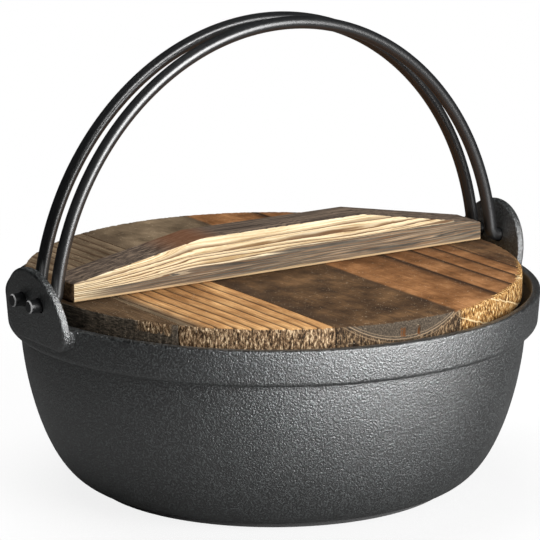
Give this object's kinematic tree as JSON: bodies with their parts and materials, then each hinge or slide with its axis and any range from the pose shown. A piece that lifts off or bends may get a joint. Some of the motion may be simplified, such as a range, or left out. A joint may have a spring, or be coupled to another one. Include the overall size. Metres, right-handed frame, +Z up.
{
  "type": "cast iron pot",
  "caption": "Round cast iron pot with a stepped collar, upright wire bails hinged in cast ears, and a drop-in wooden lid with a raised batten handle.",
  "frame": {"origin": "centre of the foot's underside", "axes": "+Z up; +X through the ears and along the batten; -Y towards the viewer"},
  "size_m": [0.2714, 0.25, 0.2197],
  "materials": {
    "iron": "fine pebbled black casting",
    "wire": "satin black",
    "board_wood": "scorched and brushed",
    "batten_wood": "planed, scorched top",
    "screw_steel": "plain"
  },
  "bodies": {
    "pot": {"pot_body": "iron"},
    "bail_front": {"bail_front": "wire"},
    "bail_rear": {"bail_rear": "wire"},
    "lid": {"lid_board_left": "board_wood", "lid_board_middle": "board_wood", "lid_board_right": "board_wood", "lid_batten": "batten_wood", "batten_screw_1": "screw_steel", "batten_screw_2": "screw_steel", "batten_screw_3": "screw_steel", "batten_screw_4": "screw_steel", "batten_screw_5": "screw_steel"}
  },
  "joints": [
    {"name": "bail_front_swing", "type": "hinge", "parent": "pot", "child": "bail_front", "pos_m": [0, -0.00735, 0.1013], "axis": [1, 0, 0], "range_deg": [-2, 92]},
    {"name": "bail_rear_swing", "type": "hinge", "parent": "pot", "child": "bail_rear", "pos_m": [0, 0.00735, 0.1013], "axis": [-1, 0, 0], "range_deg": [-2, 92]},
    {"name": "lid_lift", "type": "slide", "parent": "pot", "child": "lid", "axis": [0, 0, 1], "range_m": [0, 0.008]}
  ]
}
